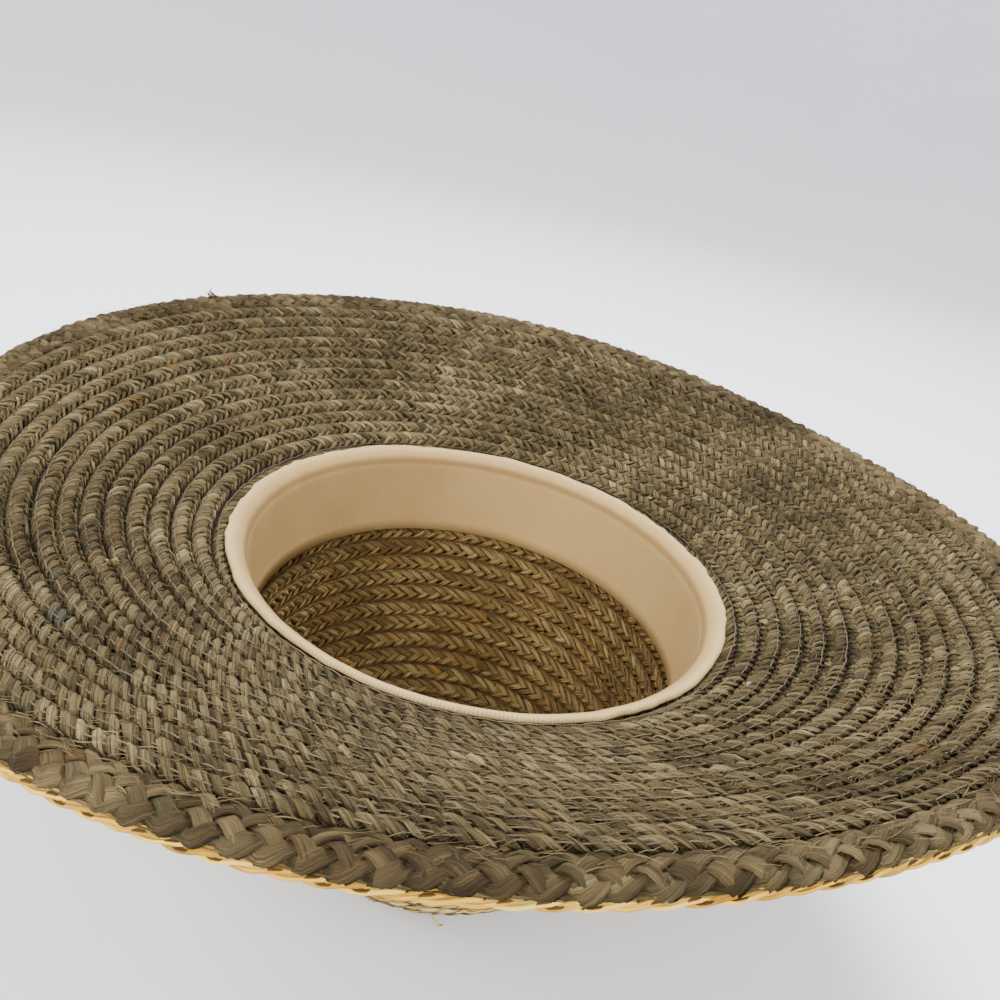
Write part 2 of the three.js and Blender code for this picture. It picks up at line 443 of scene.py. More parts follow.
def inner_leaves(leaves, random):
    """Flat leaves along a row, each given by its place along the wall, half its width and its depth."""
    section = np.array(LENS_OF_FOUR)
    strips = []
    for place, half_width, depth in leaves:
        length, turn_at = round_row(max(place, 0.002))
        steps = max(8, round(length / inner_leaf_step))
        share = np.arange(steps) / steps
        along = place + section[:, 0] * half_width
        lean = (section[:, 0] + section[:, 1]) * inner_leaf_half_thickness
        points = wall_point(along, depth + lean, turn_at(share)[:, None])
        leaf = (0.9, (share * length)[:, None], random.uniform(0, 1))
        # Their facts lay them under the strands and near a strand's edge all round, so the finish gives
        # them its painted shade.
        facts = facts_of(points, leaf, (section[:, 1], -section[:, 1], 0))
        strips.append((points, facts, True))
    return strips


def leaves_of_row(inner, outer, depths):
    """One leaf under the seam at the row's inner edge, and one under the middle of the row."""
    middle = (inner + outer) / 2
    return [
        (inner - 0.0003, inner_leaf_half_width, depths[0] + 0.0003),
        (middle, inner_leaf_half_width, depths[0] + 0.0007),
    ]


# %% [markdown]
# ## The kinds of plait
# The brim is a seven-strand plait and the crown a five-strand one. Both go over two and under two.
# The rim's plait is coarser and puffier, and goes over one and under one.
# A strand's section is a flat lens. Four points will do where the rows are many and fine,
# and the rim's fat leaves have six.

# %% The three plaits
LENS_OF_FOUR = [(-1, 0), (0, -1), (1, 0), (0, 1)]
LENS_OF_SIX = [(-1, 0), (-0.55, -0.9), (0.55, -0.9), (1, 0), (0.55, 0.9), (-0.55, 0.9)]
brim_plait = {
    "strands": 7, "period": 0.029, "samples": 14, "section": LENS_OF_FOUR,
    "strand_width": 0.0031, "strand_thickness": 0.0009, "weave_height": 0.0004,
    "ragged": 0.25, "lean": 0.3, "shingle": 0.12, "hand": -1, "turns_over": 2,
}
front_plait = dict(brim_plait, samples=16)
crown_plait = dict(brim_plait, strands=5, period=0.026, samples=12, strand_width=0.0036)
rim_plait = dict(
    brim_plait, strands=5, period=0.034, samples=26, section=LENS_OF_SIX, strand_width=0.0043,
    strand_thickness=0.0012, weave_height=0.00055, ragged=0.34, shingle=0.1, hand=1, turns_over=4,
)

# %% [markdown]
# ## Where the rows lie
# Each row laps over its neighbour. On the outer face the outer row lies on top, and on the head
# side the inner row does. So a row leans through the wall: its inner edge is near the outer face,
# and its outer edge is nearer the head side. The brim's first row lies low, under the ribbon's lip.

# %% The rows' places along the wall
brim_depths = (0.0003, 0.0011)
brim_ridge = 0.0027
first_ridge = 0.0008
crown_depths = (0.0004, 0.0011)
crown_ridge = 0.0005


def row_edges(start, end):
    return np.linspace(start, end, max(1, round((end - start) / row_pitch)) + 1)


crown_edges = row_edges(shoulder_from, fold_to)
side_start = int(np.argmax(crown_edges >= shoulder_to))
rows = {
    "tip": row_edges(0, shoulder_from),
    "shoulder": crown_edges[: side_start + 1],
    "side": crown_edges[side_start:],
    "brim": row_edges(fold_to, rim_from),
}
for part, edges in rows.items():
    print(f"{part}: {len(edges) - 1} rows of {1000 * (edges[1] - edges[0]):.2f} mm")

# %% Plaiting some rows
plait_strip_width = 0.0066


def plaited_piece(name, edges, plait, depths, ridges, seed):
    random = np.random.default_rng(seed)
    strips = []
    for start, end, ridge in zip(edges[:-1], edges[1:], ridges):
        row = two_beds(start, end, depths, ridge, plait["weave_height"])
        strips += plait_row(*row, plait, random)
        strips += inner_leaves(leaves_of_row(start, end, depths), random)
    return mesh_of_strips(name, strips, plait_strip_width)


straw_pieces = {}
for seed, part in enumerate(("tip", "shoulder", "side"), start=11):
    name = f"crown_{part}"
    ridges = [crown_ridge] * (len(rows[part]) - 1)
    piece = plaited_piece(f"{name}_rows", rows[part], crown_plait, crown_depths, ridges, seed)
    straw_pieces[name] = piece

brim_edges = rows["brim"]
brim_ridges = [first_ridge] + [brim_ridge] * (len(brim_edges) - 2)
brim_sections = [
    ("brim_inner_rows", 0, 5, brim_plait, 21),
    ("brim_middle_rows", 5, 10, brim_plait, 22),
    ("brim_outer_rows", 10, len(brim_ridges), front_plait, 23),
]
brim_pieces = []
for name, first, last, plait, seed in brim_sections:
    edges = brim_edges[first : last + 1]
    piece = plaited_piece(name, edges, plait, brim_depths, brim_ridges[first:last], seed)
    brim_pieces.append(piece)

# %% [markdown]
# ## The rim
# The last turn is a coarser plait. Its outer half is folded down over the edge,
# where it ends in a fine golden twist with dark dashes.
# So the rim's bed runs straight out and then rolls over the edge. Two leaves close the roll inside.

# %% The rim's bed and its twisted edge
rim_roll_radius = 0.0021
rim_roll_setback = 0.0012
rim_top_depth = 0.0021
rim_plait_lap = 0.001
rim_plait_reach = 0.0138
edge_radius = 0.0009
edge_twist = 0.0136
edge_depth = -0.0009
edge_steps_per_turn = 16
edge_sides = 6
dash_side = 0.55
dash_pace = 1.5


def rolled_bed(inner, width):
    """A bed of this width that starts at inner and rolls over the edge toward the outer face."""
    roll_from = profile_length - rim_roll_radius - rim_roll_setback
    half = width / 2
    middle = inner + half

    def bed(aside, lift):
        rolled = np.clip((middle + aside - roll_from) / rim_roll_radius, 0, 2.6)
        flat = np.minimum(middle + aside, roll_from)
        across = np.clip((flat - inner) / 0.006, 0, 1)
        depth = rim_top_depth - rim_roll_radius - 0.0014 * (1 - across) ** 2
        reach = rim_roll_radius + lift
        valley = np.abs(aside) / half * 0.8
        return flat + reach * np.sin(rolled), depth + reach * np.cos(rolled), valley

    return bed, middle, half


def turned_edge(random):
    """Two fat strands that wind round the line of the rim. The dashes lie on one side of each."""
    along = profile_length - edge_radius
    length, turn_at = round_row(along)
    turns = round(length / edge_twist)
    steps = turns * edge_steps_per_turn
    share = np.arange(steps) / steps
    around = np.linspace(0, 2 * math.pi, edge_sides + 1)[:-1] + dash_side
    strips = []
    for strand in range(2):
        wind = 2 * math.pi * (share * turns + strand / 2)
        swell = edge_radius * (1 + 0.12 * wander(random, share, turns))
        aside = 0.4 * edge_radius * np.cos(wind)[:, None] + swell[:, None] * np.cos(around)
        depth = 0.55 * edge_radius * np.sin(wind)[:, None] + swell[:, None] * 0.8 * np.sin(around)
        points = wall_point(along + aside, edge_depth + depth, turn_at(share)[:, None])
        pulse = np.cos(wind * dash_pace + 1.3)[:, None]
        dash = np.clip(2.6 * pulse - 0.4 - 1.6 * np.abs(around - dash_side), 0, 1.2)
        run = (np.abs(share - 0.5) * length)[:, None]
        leaf = (np.cos(around) * 0.6, run, 0.37 + 0.34 * strand)
        strips.append((points, facts_of(points, leaf, (1, 1, dash)), True))
    return strips


random = np.random.default_rng(31)
rim_row = plait_row(*rolled_bed(rim_from - rim_plait_lap, rim_plait_reach), rim_plait, random)
rim_leaves = leaves_of_row(rim_from, profile_length - 0.0024, (0.0004, 0.001))
rim_row += inner_leaves(rim_leaves, random)
roll_leaves = [(profile_length - 0.0043, 0.0029, 0.0006), (profile_length - 0.0026, 0.0024, 0.0001)]
rim_row += inner_leaves(roll_leaves, np.random.default_rng(32))
rim_piece = mesh_of_strips("rim_plait_row", rim_row, 0.0095)
edge_piece = mesh_of_strips("rim_turned_edge", turned_edge(random), 0.0072)

# %% [markdown]
# ## Wires between shader nodes
# A material is a small net of nodes. Written as Python it reads like the sum it is:
# a Wire holds one socket, and its operators add the Math node. A colour or a vector
# goes through Vector Math, because a Math node would turn it grey.

# %% Shader sockets as Python values
class Wire:
    def __init__(self, finish, socket):
        self.finish = finish
        self.socket = socket

    def combine(self, operation, first, second):
        parts = (first, second)
        types = [part.socket.type for part in parts if isinstance(part, Wire)]
        kind = "ShaderNodeMath"
        if "VECTOR" in types or "RGBA" in types:
            kind = "ShaderNodeVectorMath"
            parts = [part if isinstance(part, (Wire, tuple)) else (part,) * 3 for part in parts]
        return self.finish.node(kind, {"operation": operation}, dict(enumerate(parts)))

    def __add__(self, other):
        return self.combine("ADD", self, other)

    def __radd__(self, other):
        return self.combine("ADD", other, self)

    def __sub__(self, other):
        return self.combine("SUBTRACT", self, other)

    def __rsub__(self, other):
        return self.combine("SUBTRACT", other, self)

    def __mul__(self, other):
        return self.combine("MULTIPLY", self, other)

    def __rmul__(self, other):
        return self.combine("MULTIPLY", other, self)


# %% A finish and its nodes
class Finish:
    """One material. node() adds any node, with its settings and its sockets' values or links."""

    def __init__(self, name):
        self.material = bpy.data.materials.new(name)
        self.material.use_nodes = True
        self.tree = self.material.node_tree
        self.surface = self.tree.nodes["Principled BSDF"]

    def node(self, kind, settings=None, sockets=None, output=0):
        made = self.tree.nodes.new(kind)
        settings = dict(settings or {})
        stops = settings.pop("stops", [])
        for setting, value in settings.items():
            setattr(made, setting, value)
        for _ in stops[2:]:
            made.color_ramp.elements.new(1)
        for index, (position, colour) in enumerate(stops):
            made.color_ramp.elements[index].position = position
            made.color_ramp.elements[index].color = colour
        self.feed(made, sockets or {})
        return Wire(self, made.outputs[output])

    def feed(self, made, sockets):
        for key, value in sockets.items():
            if isinstance(value, Wire):
                self.tree.links.new(value.socket, made.inputs[key])
            else:
                made.inputs[key].default_value = value

    def mix(self, amount, first, second):
        """A colour that goes from first to second as amount goes from 0 to 1."""
        return self.node("ShaderNodeMix", {"data_type": "RGBA"}, {0: amount, 6: first, 7: second}, 2)

    def ease(self, value, low, high):
        """0 below low, 1 above high, and a smooth way between."""
        settings = {"interpolation_type": "SMOOTHSTEP"}
        sockets = {"Value": value, "From Min": low, "From Max": high}
        return self.node("ShaderNodeMapRange", settings, sockets)

    def near(self, where, place, radius, wobble):
        """1 close to a place, and 0 farther than radius from it. wobble roughens the border."""
        sockets = {0: where, 1: tuple(float(value) for value in place)}
        distance = self.node("ShaderNodeVectorMath", {"operation": "DISTANCE"}, sockets, 1)
        return self.ease(distance + wobble, radius, radius * 0.6)

    def fact(self, name):
        """The three values that the mesh carries under this name."""
        values = self.node("ShaderNodeAttribute", {"attribute_name": name}, {}, 1)
        return [self.node("ShaderNodeSeparateXYZ", {}, {0: values}, part) for part in range(3)]

    def point(self, x, y, z):
        return self.node("ShaderNodeCombineXYZ", {}, {0: x, 1: y, 2: z})

    def sine(self, value):
        return self.node("ShaderNodeMath", {"operation": "SINE"}, {0: value})

    def bump(self, height, strength, distance):
        sockets = {"Strength": strength, "Distance": distance, "Height": height}
        return self.node("ShaderNodeBump", {}, sockets)

    def noise(self, vector, scale, detail=2, roughness=0.5):
        sockets = {"Vector": vector, "Scale": scale, "Detail": detail, "Roughness": roughness}
        return self.node("ShaderNodeTexNoise", {}, sockets)


# %% Colours as a paint chart gives them
def paint(red, green, blue):
    """A colour from 0 to 255, as a shader wants it."""
    def linear(value):
        value = value / 255
        return value / 12.92 if value <= 0.04045 else ((value + 0.055) / 1.055) ** 2.4
    return (linear(red), linear(green), linear(blue), 1)


# %% [markdown]
# ## Split palm leaf
# The brim's underside is the straw painted grey-brown as painted shade, with olive and rust stains, and
# the outer face is golden.
# Worn underside straw is grey-brown with olive and rust, and the outer face is still golden.
# The fibres are noise that is stretched along the strand. The same fibres drive the bump.
# Each strand's edges and splits, the places where it dips under its neighbour and the valleys between
# rows get painted shade.

# %% The straw finish
leaf_relief = 0.0008
straw_gloss = 0.12
mark_strength = 0.75


def straw_finish(name, ramps, shade_and_grain_colour, stains, marks=(), fibres=9, outline=1.0):
    """ramps are the colours from dark strands to pale ones, for the head side and the outer face.
    stains are two odd colours, and the colour between ramps and stains is the dark colour that the
    painted shade and the grain mix toward. fibres is how many cross a strand, and outline scales its
    splits and the painted shade at its edges.
    marks are spots of another colour: turn in degrees, place along the wall, radius, colour."""
    finish = Finish(name)
    across, run, tone = finish.fact("leaf")
    face, above, valley = finish.fact("place")
    where = finish.node("ShaderNodeTexCoord", {}, {}, 3)

    # Fibres along the strand, and a few splits where it has cracked
    fibre = finish.noise(finish.point(across * fibres, run * 60, tone * 61), 1, 3, 0.6)
    crack_wander = finish.noise(finish.point(across * 0.5, run * 45, tone * 29), 1, 1)
    crack = finish.sine(across * 9 + crack_wander * 4 + tone * 50)
    split = finish.ease(crack, -0.35, -0.95) * outline

    # Each strand's own tone, and slow patches over many strands
    strand_tone = finish.noise(finish.point(across * 0.5, run * 40, tone * 83), 1, 1)
    patch = finish.noise(where, 22, 2)
    shade = finish.ease(strand_tone * 0.6 + patch * 0.4 + (fibre - 0.5) * 0.55, 0.27, 0.73)
    # Each strand has one colour on the head side and one on the outer face. The brim's head-side colour
    # is the straw in painted shade, and inside the crown partly so.
    worn, fresh = (finish.node("ShaderNodeValToRGB", {"stops": stops}, {0: shade}) for stops in ramps)
    straw = finish.mix(finish.ease(face + above * 0.8, -1.1, -0.5), fresh, worn)

    # Odd leaves and marks
    hue = finish.noise(finish.point(tone * 47, run * 30, 5.0), 1, 1)
    straw = finish.mix(finish.ease(hue, 0.62, 0.76) * 0.3, straw, stains[0])
    straw = finish.mix(finish.ease(hue, 0.42, 0.3) * 0.25, straw, stains[1])
    seen = finish.ease(face + above, -0.6, 0.4)
    for degrees, along, radius, colour in marks:
        centre = wall_point(along, 0.003, math.radians(degrees))
        spot = finish.near(where, centre, radius, (strand_tone - 0.5) * radius * 1.5)
        straw = finish.mix(spot * seen * mark_strength, straw, colour)

    # Painted shade where a strand dips under its neighbour, at its edges, in its splits and in the
    # valleys between rows, and darker grain between the fibres. On the twisted edge the valley value
    # carries its dark dashes.
    dip_shade = 1 - finish.ease(above * face, -0.9, 0.5)
    # Painted shade at each strand's edges, and in the valleys between rows on the side that shows.
    edge = finish.ease(across * across, 0.4, 1.0) * (0.5 * outline)
    deep = finish.ease(valley, 0.5, 1.0) * seen
    shade_and_grain = dip_shade * 0.4 + edge + deep * 0.95 + split * 0.4 + (0.5 - fibre) * 1.1
    # Both the painted shade and the grain mix toward the dark colour.
    colour = finish.mix(finish.ease(shade_and_grain, 0.1, 1.0) * 0.92, straw, shade_and_grain_colour)
    finish.feed(finish.surface, {
        "Base Color": colour,
        "Roughness": 0.66 + fibre * 0.28,
        "Normal": finish.bump(fibre - split * 0.7, 1.0, leaf_relief),
        "Specular IOR Level": straw_gloss,
    })
    return finish.material


# %% Straw colours
# The brim's underside colours: the golden straw greyed and darkened as painted shade.
underside_shade_ramp = [
    (0.0, paint(52, 43, 24)), (0.3, paint(75, 64, 39)), (0.55, paint(95, 82, 53)),
    (0.8, paint(113, 99, 68)), (1.0, paint(142, 127, 90)),
]
golden_ramp = [
    (0.0, paint(166, 124, 56)), (0.25, paint(200, 158, 80)), (0.5, paint(216, 180, 100)),
    (0.8, paint(226, 194, 118)), (1.0, paint(236, 210, 142)),
]
# The crown's inside: golden-brown straw, darkened in part as painted shade.
shaded_inside_ramp = [
    (0.0, paint(80, 62, 32)), (0.3, paint(106, 85, 48)), (0.55, paint(128, 105, 62)),
    (0.8, paint(144, 121, 75)), (1.0, paint(164, 141, 92)),
]
worn_stains = (paint(112, 74, 38), paint(78, 79, 58))
golden_stains = (paint(190, 128, 50), paint(176, 168, 96))
brim_marks = [
    (41.2, 0.2479, 0.0048, paint(88, 64, 32)), (22.0, 0.2395, 0.0048, paint(48, 38, 14)),
    (305.8, 0.2140, 0.0026, paint(168, 144, 92)), (82.2, 0.1897, 0.0022, paint(150, 130, 86)),
    (55.8, 0.1880, 0.0012, paint(176, 166, 144)), (232.2, 0.2372, 0.0028, paint(112, 68, 30)),
    (243.5, 0.2400, 0.0026, paint(108, 72, 36)), (256.8, 0.2321, 0.0050, paint(98, 76, 38)),
    (319.5, 0.2395, 0.0060, paint(72, 72, 60)), (300.0, 0.2480, 0.0036, paint(120, 82, 40)),
]
edge_ramp = [
    (0.0, paint(170, 122, 36)), (0.3, paint(194, 150, 56)), (0.6, paint(208, 168, 72)),
    (1.0, paint(222, 190, 98)),
]
rim_ramp = [
    (0.0, paint(42, 32, 17)), (0.3, paint(66, 54, 32)), (0.6, paint(88, 74, 47)),
    (1.0, paint(122, 106, 74)),
]
# Dark colours that the painted shade and the darker grain mix toward. The edge's one also colours its
# dashes.
dark_shade_and_grain = paint(32, 21, 8)
golden_shade_and_grain = paint(84, 56, 22)
edge_gap = paint(44, 24, 8)

# %% Four straws, and which piece wears which
golden_straw = straw_finish(
    "golden_plaited_straw", (shaded_inside_ramp, golden_ramp), golden_shade_and_grain, golden_stains)
shaded_underside_straw = straw_finish(
    "shaded_underside_plaited_straw", (underside_shade_ramp, golden_ramp), dark_shade_and_grain, worn_stains, brim_marks)
edge_straw = straw_finish(
    "golden_edge_straw", (edge_ramp, edge_ramp), edge_gap, golden_stains)
rim_straw = straw_finish(
    "rim_plaited_straw", (rim_ramp, golden_ramp), dark_shade_and_grain, worn_stains, fibres=19, outline=0.25)
for piece in straw_pieces.values():
    piece.data.materials.append(golden_straw)
for piece in brim_pieces:
    piece.data.materials.append(shaded_underside_straw)
rim_piece.data.materials.append(rim_straw)
edge_piece.data.materials.append(edge_straw)
print("finishes:", [material.name for material in (golden_straw, shaded_underside_straw, edge_straw, rim_straw)])

# %% [markdown]
# ## The sewing thread
# A machine sews each turn to the one before, close to the row's edge. The stitches lie on top
# of the straw and dip into it at their ends. Each is a short arc with a three-sided section.

# %% Stitches
stitch_length = 0.0062
stitch_pitch = 0.0064
stitch_sink = 0.00022
thread_radius = 0.00024
seam_from_edge = 0.0012
outer_seam_from_edge = 0.0019
outer_seam_lift = 0.00062
brim_seam_lift = 0.0022
crown_seam_lift = 0.0009
three_sides = np.linspace(0, 2 * math.pi, 4)[:-1]


def stitch_strips(along, depth, outward, random):
    """Stitches round one row. outward is 1 on the head side and -1 on the outer face."""
    length, turn_at = round_row(along, depth)
    count = round(length / stitch_pitch)
    strips = []
    for index in range(count):
        middle = index / count
        share = middle + np.linspace(-0.5, 0.5, 3) * stitch_length / length
        arch = np.array([-stitch_sink, 0.00004, -stitch_sink])
        lift = outward * (arch + random.uniform(-1, 1) * 0.00006)
        aside = random.uniform(-1, 1) * 0.00025
        aside = aside + np.linspace(-1, 1, 3) * random.uniform(-1, 1) * 0.0003
        points = wall_point(
            along + aside[:, None] + thread_radius * np.cos(three_sides),
            depth + lift[:, None] + thread_radius * np.sin(three_sides),
            turn_at(share)[:, None],
        )
        leaf = (0, (share * length)[:, None], random.uniform(0, 1))
        strips.append((points, facts_of(points, leaf), False))
    return strips


def sewn_rows(name, edges, depths, head_lift, seed):
    random = np.random.default_rng(seed)
    strips = []
    for edge in edges:
        strips += stitch_strips(edge - seam_from_edge, depths[1] + head_lift, 1, random)
        strips += stitch_strips(edge - outer_seam_from_edge, depths[0] - outer_seam_lift, -1, random)
    return mesh_of_strips(name, strips, 0.0013)


crown_seams = np.r_[rows["tip"][1:], crown_edges[1:-1]]
thread_pieces = [
    sewn_rows("brim_stitches", brim_edges[1:], brim_depths, brim_seam_lift, 41),
    sewn_rows("crown_stitches", crown_seams, crown_depths, crown_seam_lift, 42),
]

# %% The thread finish
def thread_finish():
    """Undyed cotton, a little duller where it has taken up dust."""
    finish = Finish("undyed_thread")
    _, run, tone = finish.fact("leaf")
    twist = finish.sine(run * 9000)
    colour = finish.mix(tone, paint(64, 53, 31), paint(86, 73, 46))
    bump = finish.bump(twist, 0.4, 0.0001)
    finish.feed(finish.surface, {"Base Color": colour, "Roughness": 0.8, "Normal": bump})
    return finish.material


undyed_thread = thread_finish()
for piece in thread_pieces:
    piece.data.materials.append(undyed_thread)

# %% [markdown]
# ## Wisps, frayed ends and marks
# Split leaf frays. Fine fibres lift from the ridges and point the way their strand runs,
# and here and there a cut end stands up in a tuft. A few leaves are stained.
# The tufts that the photograph shows are placed by their turn and their place along the wall.

# %% One fibre
wisp_root_depth = 0.0002
wisp_taper = 0.75


def wisp(along, depth, turn, heading, length, thickness, rise, bend, tone, face):
    """A fibre that starts in the straw and runs along its heading, 0 being along the row."""
    steps = np.linspace(0, 1, 4)
    angle = heading + bend * steps
    ahead = length * steps * np.cos(angle)
    aside = length * steps * np.sin(angle)
    height = rise * np.sin(steps * math.pi * 0.62) - wisp_root_depth
    radius = thickness / 2 * (1 - wisp_taper * steps**2)
    near = wall_point(along, depth, turn)
    per_turn = max(0.005, math.hypot(near[0], near[1]))
    points = wall_point(
        (along + aside)[:, None] + radius[:, None] * np.cos(three_sides),
        (depth + face * height)[:, None] + radius[:, None] * 0.6 * np.sin(three_sides),
        (turn + ahead / per_turn)[:, None],
    )
    facts = facts_of(points, (0, (length * steps)[:, None], tone), (face, face, 0))
    return points, facts, False


# %% Wisps on the brim's ridges and on the rim
brim_wisp = {
    "count": 6400, "length": (0.003, 0.0085), "thickness": (0.00014, 0.00034),
    "rise": (0.0002, 0.0012), "bend": 0.9,
}
rim_wisp = {
    "count": 900, "length": (0.003, 0.008), "thickness": (0.0002, 0.0005),
    "rise": (0.0002, 0.0009), "bend": 0.6,
}


def wisp_of(kind, along, depth, turn, heading, random):
    """A wisp of this kind, with its size, bend and tone drawn by chance."""
    length, thickness, rise = (random.uniform(*kind[size]) for size in ("length", "thickness", "rise"))
    bend = random.uniform(-kind["bend"], kind["bend"])
    return wisp(along, depth, turn, heading, length, thickness, rise, bend, random.uniform(0, 1), 1)


def brim_wisps(random):
    """More of them toward the rim, where the brim is worn most."""
    strips = []
    pitch = brim_edges[1] - brim_edges[0]
    last_row = len(brim_edges) - 1
    for _ in range(brim_wisp["count"]):
        row = min(int(random.triangular(1, last_row, last_row + 1)), last_row)
        side = random.choice([-1, 1])
        across = random.uniform(0.1, 0.75) * side
        along = brim_edges[0] + (row + 0.5 + across / 2) * pitch
        base = brim_depths[0] + (brim_depths[1] - brim_depths[0]) * (across + 1) / 2
        depth = base + brim_ridge * math.sqrt(1 - across**2) + 0.0005
        heading = side * random.uniform(0.2, 1.1)
        turn = random.uniform(0, 2 * math.pi)
        strips.append(wisp_of(brim_wisp, along, depth, turn, heading, random))
    for _ in range(rim_wisp["count"]):
        along = random.uniform(rim_from + 0.001, profile_length - 0.003)
        turn = random.uniform(0, 2 * math.pi)
        heading = random.uniform(-0.8, 0.8)
        strips.append(wisp_of(rim_wisp, along, rim_top_depth + 0.0008, turn, heading, random))
    return strips


# %% Tufts at the rim, and a loose end below the crown
tufts = [
    (237, 0.272, 26, 0.004), (233.5, 0.274, 18, 0.0035), (225, 0.280, 18, 0.0032),
    (22.0, 0.2395, 26, 0.005), (305.8, 0.2140, 14, 0.003), (41.2, 0.2479, 10, 0.004),
]
tuft_depth = 0.0028
tuft_half_width = 0.0015
tuft_half_turn = 0.011
wisp_strip_width = 0.0012


def tuft(degrees, along, count, length, random):
    """A small bunch of thick fibres round a place."""
    kind = {
        "length": (0.6 * length, 1.2 * length), "thickness": (0.0008, 0.0016),
        "rise": (0.0008, 0.002), "bend": 1,
    }
    strips = []
    for _ in range(count):
        place = along + random.uniform(-tuft_half_width, tuft_half_width)
        turn = math.radians(degrees) + random.uniform(-tuft_half_turn, tuft_half_turn)
        heading = random.uniform(-0.6, 1.2)
        strips.append(wisp_of(kind, place, tuft_depth, turn, heading, random))
    return strips


random = np.random.default_rng(61)
loose = brim_wisps(random)
for bunch in tufts:
    loose += tuft(*bunch, random)
loose.append(wisp(
    along=0.0757, depth=0.0002, turn=math.radians(5.6), heading=-0.1, length=0.0068,
    thickness=0.0026, rise=0.0040, bend=-0.3, tone=0.3, face=-1,
))
wisp_piece = mesh_of_strips("brim_wisps", loose, wisp_strip_width)
wisp_piece.data.materials.append(shaded_underside_straw)

# %% [markdown]
# ## The sweatband
# A ribbed cream ribbon stands inside the opening, and its folded lip lies on the brim.
# The lip is soft: it rolls, and its edge puckers where the stitches pull it in.
# One closed section is carried round the opening, and slow waves move the lip's edge.

# %% The ribbon and its lip
ribbon_steps = 480
slack_height = 0.006
seat = wall_thickness + clearance


def ribbon_section():
    """Places along and through the wall: down the wall side, round the lip, up the head side."""
    lip_end = fold_to + lip_reach
    up_wall = np.linspace(fold_from - band_height, fold_from, 7)
    over_fold = np.linspace(fold_from, fold_to, 5)[1:]
    wall_side = [(place, seat) for place in [*up_wall, *over_fold]]
    swing = np.linspace(-math.pi / 2, math.pi / 2, 8)
    roll = [
        (lip_end - lip_thickness / 2 + math.cos(angle) * lip_thickness / 2,
         seat + lip_thickness / 2 + math.sin(angle) * lip_thickness / 2)
        for angle in swing
    ]
    thick = np.linspace(lip_thickness * 0.92, band_thickness, 5)[:-1]
    fold_side = [(place, seat + rise) for place, rise in zip(over_fold[::-1], thick)]
    head_side = [(place, seat + band_thickness) for place in up_wall[::-1]]
    return np.array(wall_side + roll + fold_side + head_side)


def ribbon_strip(random):
    section = ribbon_section()
    length, turn_at = round_row(fold_from, seat)
    share = np.arange(ribbon_steps) / ribbon_steps
    along, through = section.T
    free = np.clip((along - fold_from) / (fold_to + lip_reach - fold_from), 0, 1)
    pucker = wander(random, share, 150) * 0.00032 + wander(random, share, 60) * 0.00045
    roll = wander(random, share, 90) * 0.00022 + wander(random, share, 24) * 0.0003
    top = np.clip((fold_from - band_height + slack_height - along) / slack_height, 0, 1)
    slack = wander(random, share, 26) * 0.0005
    along = along + pucker[:, None] * free**2
    through = through + np.maximum(roll, -0.0001)[:, None] * free
    through = through + np.maximum(slack, 0)[:, None] * top
    points = wall_point(along, through, turn_at(share)[:, None])
    facts = facts_of(points, (free, (share * length)[:, None], along - fold_from))
    return points, facts, True


band_section_length = 2 * (band_height + band_fold_length + lip_reach) + lip_thickness
ribbon = ribbon_strip(np.random.default_rng(51))
sweatband = mesh_of_strips("sweatband_ribbon", [ribbon], band_section_length)

# %% The ribbon finish
rib_pitch = 0.0011
weft_pitch = 0.00035


def ribbon_finish():
    """Cream ribbon with fine ribs across it, a paler rolled lip and a little wear, with painted shade in
    the troughs of the ribs and in the crease where the band folds into the lip.
    """
    finish = Finish("ribbed_cream_ribbon")
    free, run, height = finish.fact("leaf")
    where = finish.node("ShaderNodeTexCoord", {}, {}, 3)
    rib = finish.sine(run * (2 * math.pi / rib_pitch))
    thread = finish.sine(height * (2 * math.pi / weft_pitch))
    mottle = finish.noise(where, 60, 3)
    fuzz = finish.noise(where, 1500, 2)
    cloth = finish.mix(mottle, paint(154, 124, 74), paint(168, 140, 92))
    lip = finish.mix(mottle, paint(170, 144, 96), paint(184, 160, 114))
    colour = finish.mix(finish.ease(free, 0.35, 0.8), cloth, lip)
    # Painted shade in the crease where the band folds over into the lip.
    fold_crease_shade = finish.ease(free, 0.12, 0.24) * finish.ease(free, 0.42, 0.28)
    colour = finish.mix(fold_crease_shade * 0.55, colour, paint(92, 62, 28))
    # Painted shade in the troughs of the ribs.
    colour = finish.mix(finish.ease(rib, -0.2, -1.0) * 0.35, colour, paint(116, 88, 52))
    finish.feed(finish.surface, {
        "Base Color": colour,
        "Roughness": 0.86,
        "Normal": finish.bump(rib * 0.5 + thread * 0.2 + fuzz * 0.8, 0.35, 0.0003),
        "Specular IOR Level": 0.15,
    })
    return finish.material


sweatband.data.materials.append(ribbon_finish())

# %% [markdown]
# ## Floor and light
# The hat lies on a plain pale floor. Large soft lamps and a bright sky keep the shadows open,
# and a low lamp at the front reaches the rim's edge and the crown below it.

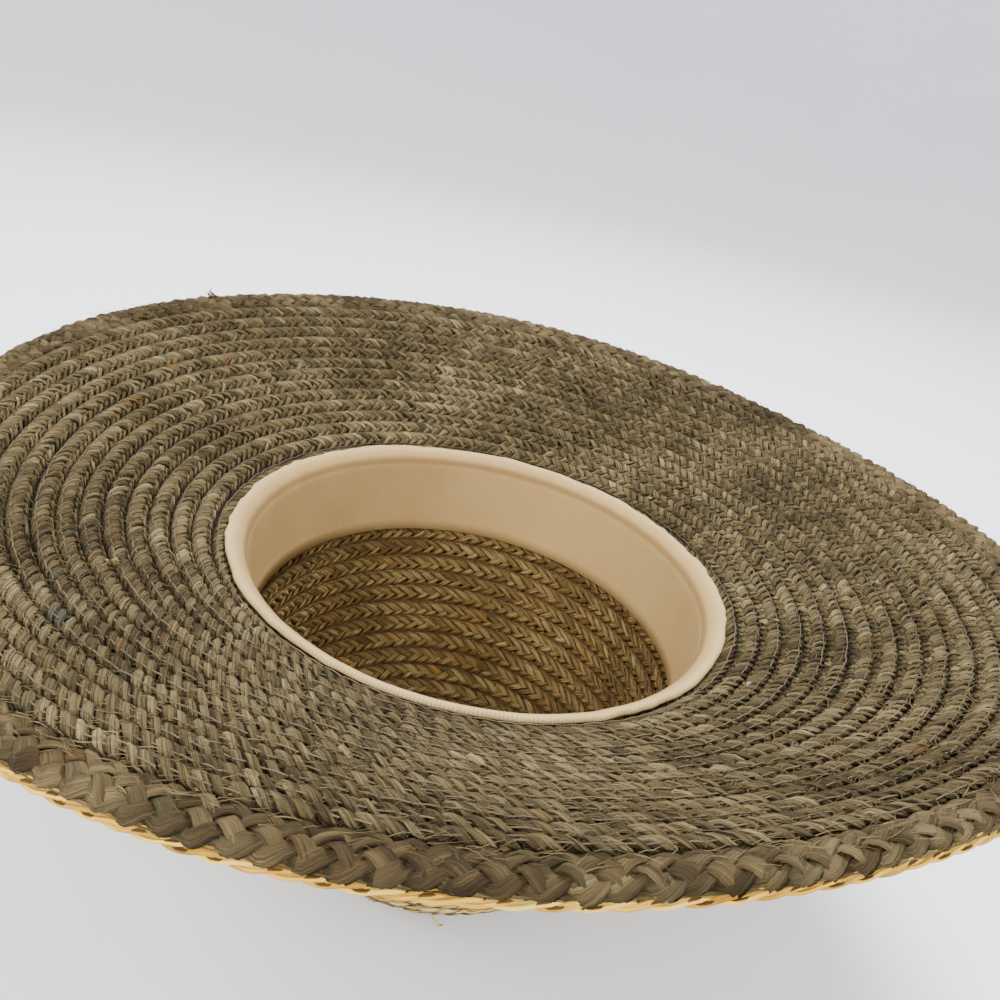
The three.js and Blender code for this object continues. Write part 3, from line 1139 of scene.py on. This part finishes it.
# %% Floor
def studio_floor(flat, cove, wall, steps=96):
    """A round floor whose edge sweeps up into a wall, so that no horizon shows."""
    angles = np.linspace(0, 1.5, 16)
    sweep = [(flat + cove * math.sin(angle), cove * (1 - math.cos(angle))) for angle in angles]
    section = [(0.001, 0), (flat / 2, 0), *sweep, (flat + cove, wall)]
    points = []
    for radius, height in section:
        for turn in np.linspace(0, 2 * math.pi, steps, endpoint=False):
            points.append((radius * math.cos(turn), radius * math.sin(turn), height))
    faces = []
    for low in range(0, (len(section) - 1) * steps, steps):
        for side in range(steps):
            after = (side + 1) % steps
            faces.append((low + side, low + after, low + steps + after, low + steps + side))
    mesh = bpy.data.meshes.new("floor")
    mesh.from_pydata(points, [], faces)
    mesh.polygons.foreach_set("use_smooth", [True] * len(faces))
    return new_object("floor", mesh)


floor = studio_floor(flat=2.2, cove=1.6, wall=3.5)
floor_finish = Finish("pale_floor")
floor_where = floor_finish.node("ShaderNodeTexCoord", {}, {}, 3)
floor_tone = floor_finish.noise(floor_where, 3, 2)
floor_finish.feed(floor_finish.surface, {
    "Base Color": floor_finish.mix(floor_tone, paint(234, 235, 238), paint(240, 241, 244)),
    "Roughness": 0.6,
})
floor.data.materials.append(floor_finish.material)

# %% Lamps and sky
def soft_lamp(name, place, target, size, watts):
    lamp = new_object(name, bpy.data.lights.new(name, "AREA"))
    lamp.data.shape = "DISK"
    lamp.data.size = size
    lamp.data.energy = watts
    lamp.location = place
    direction = np.array(target) - np.array(place)
    lamp.rotation_euler = (
        math.atan2(math.hypot(direction[0], direction[1]), -direction[2]),
        0,
        math.atan2(-direction[0], direction[1]),
    )


soft_lamp("key_lamp", (0.3, 0.9, 1.7), (0, 0, 0.1), 0.7, 68)
soft_lamp("side_lamp", (-1.3, -0.3, 1.0), (0, 0, 0.1), 0.8, 24)
soft_lamp("front_lamp", (-0.1, -1.5, 0.95), (0, -0.5, 0), 0.8, 42)
sky = bpy.data.worlds.new("studio")
sky.use_nodes = True
sky.node_tree.nodes["Background"].inputs["Color"].default_value = (0.9, 0.92, 0.96, 1)
sky.node_tree.nodes["Background"].inputs["Strength"].default_value = 1.4
bpy.context.scene.world = sky

# %% [markdown]
# ## Telling the frame what each piece is
# Every piece rides on the hat's one body and hides the CAD solid that it stands for. The ribbon is
# cloth, and its length round the opening is worked out too.

# %% Pieces and nodes
for node_name, piece in straw_pieces.items():
    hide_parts(node_name)
for piece in brim_pieces:
    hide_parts("brim")
for piece in (rim_piece, edge_piece):
    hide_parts("rim_braid")
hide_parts("sweatband")
straw = [*straw_pieces.values(), *brim_pieces, rim_piece, edge_piece]
for piece in [*straw, *thread_pieces, wisp_piece, sweatband]:
    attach(piece, "root")

ribbon_length = round_row(fold_from, seat)[0]
